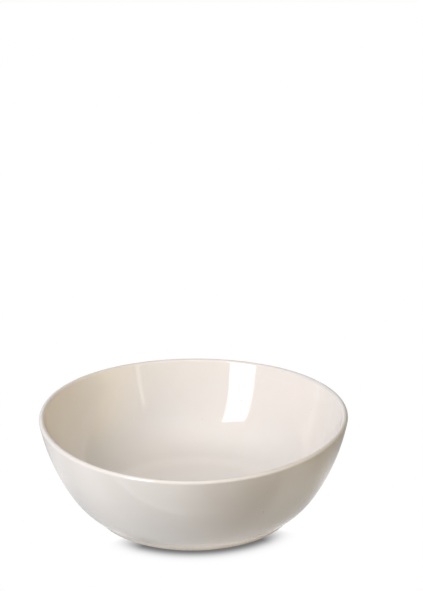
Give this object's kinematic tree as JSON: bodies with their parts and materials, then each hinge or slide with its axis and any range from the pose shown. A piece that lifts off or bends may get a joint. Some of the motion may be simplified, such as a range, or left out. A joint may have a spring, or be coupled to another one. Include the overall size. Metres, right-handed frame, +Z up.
{
  "type": "latte bowl",
  "caption": "Round glazed bowl for milky coffee with a curved wall, a rolled lip and a short foot ring left bare where it stands.",
  "frame": {"origin": "middle of the foot ring's standing face, on the table", "axes": "+Z up along the axis that the bowl was turned about; -Y towards the camera of the lower view in the picture"},
  "size_m": [0.15, 0.15, 0.0505],
  "materials": {
    "clay": "matt, bare fired clay",
    "glaze": "gloss ivory glaze"
  },
  "bodies": {
    "root": {"bowl_body": "clay", "foot_ring": "clay", "inner_glaze": "glaze", "outer_glaze": "glaze", "lip_glaze": "glaze", "base_glaze": "glaze"}
  },
  "joints": []
}
